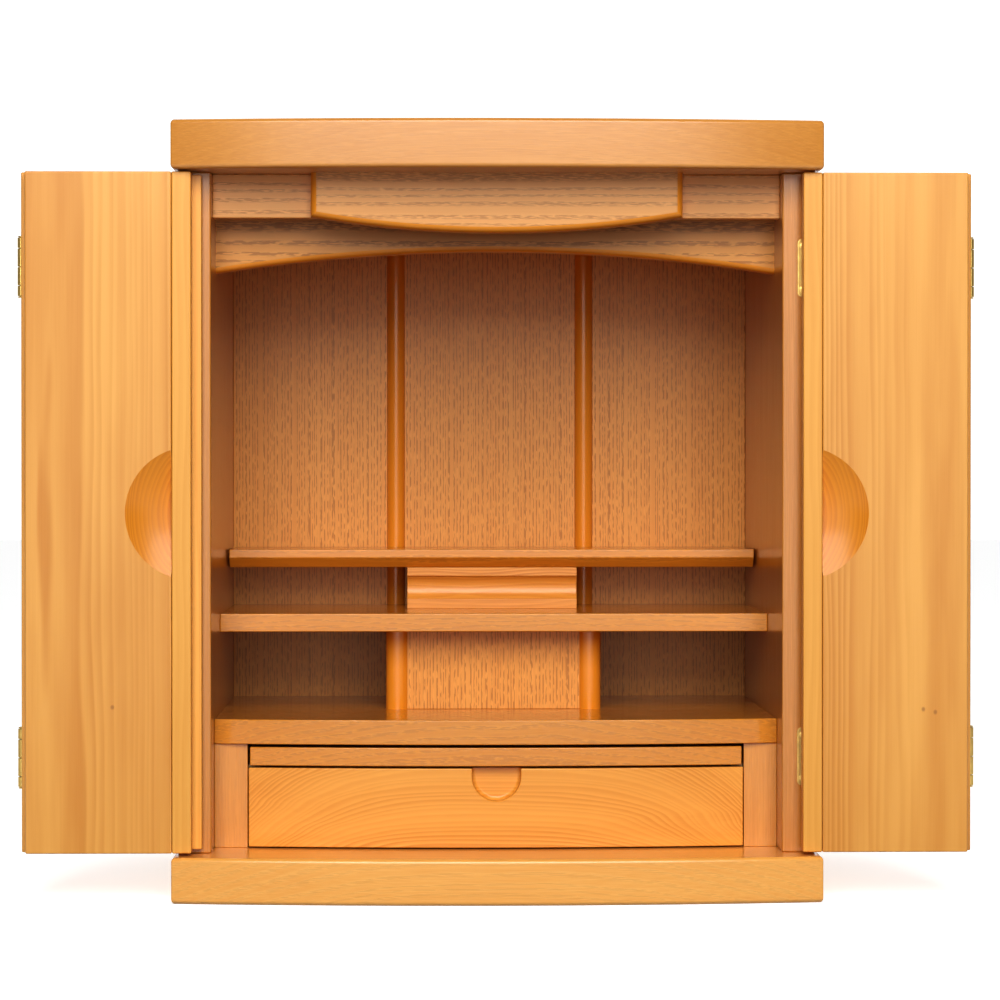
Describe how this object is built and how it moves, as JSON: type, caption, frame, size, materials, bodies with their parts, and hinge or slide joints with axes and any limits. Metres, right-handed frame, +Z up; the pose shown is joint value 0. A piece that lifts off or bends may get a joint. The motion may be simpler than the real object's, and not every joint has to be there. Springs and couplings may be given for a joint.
{
  "type": "household altar cabinet",
  "caption": "Table-top household altar cabinet in golden wood with bi-fold doors, open shelves, a drawer and a pull-out tray.",
  "frame": {"origin": "middle of the box around the part, on its underside, with the doors folded open", "axes": "+Z up, the open front looks along -Y, +X to the right of someone facing the front"},
  "size_m": [0.6656, 0.34, 0.54],
  "materials": {
    "door_wood": "satin varnish, golden broad upright grain",
    "board_wood": "satin varnish, fine grain along the board",
    "edge_wood": "gloss varnish, open pores along the board",
    "panel_veneer": "satin varnish, upright pores",
    "post_wood": "gloss varnish, plain orange",
    "drawer_wood": "satin varnish, sweeping grain",
    "inner_wood": "plain sanded board",
    "brass": "satin brass"
  },
  "bodies": {
    "cabinet": {"plinth": "board_wood", "top_board": "board_wood", "left_side_panel": "board_wood", "right_side_panel": "board_wood", "back_panel": "panel_veneer", "upper_lintel": "edge_wood", "centre_lintel": "edge_wood", "arched_lintel": "edge_wood", "bottom_shelf": "edge_wood", "middle_shelf": "edge_wood", "pedestal": "drawer_wood", "upper_shelf": "edge_wood", "lower_centre_panel": "panel_veneer", "left_upper_post": "post_wood", "right_upper_post": "post_wood", "left_lower_post": "post_wood", "right_lower_post": "post_wood", "left_drawer_cheek": "board_wood", "right_drawer_cheek": "board_wood", "left_tray_runner": "inner_wood", "right_tray_runner": "inner_wood", "left_lower_frame_plate": "brass", "left_lower_frame_pin": "brass", "left_upper_frame_plate": "brass", "left_upper_frame_pin": "brass", "right_lower_frame_plate": "brass", "right_lower_frame_pin": "brass", "right_upper_frame_plate": "brass", "right_upper_frame_pin": "brass"},
    "left_outer_door": {"left_outer_leaf": "door_wood", "left_lower_door_plate": "brass", "left_lower_fold_outer_plate": "brass", "left_upper_door_plate": "brass", "left_upper_fold_outer_plate": "brass"},
    "left_fold_pins": {"left_lower_fold_pin": "brass", "left_upper_fold_pin": "brass"},
    "left_inner_door": {"left_inner_leaf": "door_wood", "left_meeting_strip": "door_wood", "left_tongue": "door_wood", "left_lower_fold_inner_plate": "brass", "left_upper_fold_inner_plate": "brass"},
    "right_outer_door": {"right_outer_leaf": "door_wood", "right_lower_door_plate": "brass", "right_lower_fold_outer_plate": "brass", "right_upper_door_plate": "brass", "right_upper_fold_outer_plate": "brass"},
    "right_fold_pins": {"right_lower_fold_pin": "brass", "right_upper_fold_pin": "brass"},
    "right_inner_door": {"right_inner_leaf": "door_wood", "right_meeting_strip": "door_wood", "right_lower_fold_inner_plate": "brass", "right_upper_fold_inner_plate": "brass"},
    "drawer": {"drawer_front": "drawer_wood", "drawer_left_side": "inner_wood", "drawer_right_side": "inner_wood", "drawer_back": "inner_wood", "drawer_bottom": "inner_wood"},
    "tray": {"tray": "edge_wood"}
  },
  "joints": [
    {"name": "left_door_swing", "type": "hinge", "parent": "cabinet", "child": "left_outer_door", "pos_m": [-0.225, -0.1277, 0.269], "axis": [0, 0, -1], "range_deg": [-180, 0]},
    {"name": "left_fold_pins_turn", "type": "hinge", "parent": "left_outer_door", "child": "left_fold_pins", "pos_m": [-0.3305, -0.1277, 0.269], "axis": [0, 0, -1], "range_deg": [0, 180]},
    {"name": "left_leaf_fold", "type": "hinge", "parent": "left_fold_pins", "child": "left_inner_door", "pos_m": [-0.3305, -0.1277, 0.269], "axis": [0, 0, -1], "range_deg": [0, 180]},
    {"name": "right_door_swing", "type": "hinge", "parent": "cabinet", "child": "right_outer_door", "pos_m": [0.225, -0.1277, 0.269], "axis": [0, 0, 1], "range_deg": [-180, 0]},
    {"name": "right_fold_pins_turn", "type": "hinge", "parent": "right_outer_door", "child": "right_fold_pins", "pos_m": [0.3305, -0.1277, 0.269], "axis": [0, 0, 1], "range_deg": [0, 180]},
    {"name": "right_leaf_fold", "type": "hinge", "parent": "right_fold_pins", "child": "right_inner_door", "pos_m": [0.3305, -0.1277, 0.269], "axis": [0, 0, 1], "range_deg": [0, 180]},
    {"name": "drawer_slide", "type": "slide", "parent": "cabinet", "child": "drawer", "axis": [0, -1, 0], "range_m": [0, 0.15]},
    {"name": "tray_slide", "type": "slide", "parent": "cabinet", "child": "tray", "axis": [0, -1, 0], "range_m": [0, 0.14]}
  ],
  "couplings": [
    {"joint": "left_fold_pins_turn", "follows": "left_door_swing", "ratio": -1},
    {"joint": "right_fold_pins_turn", "follows": "right_door_swing", "ratio": -1}
  ]
}
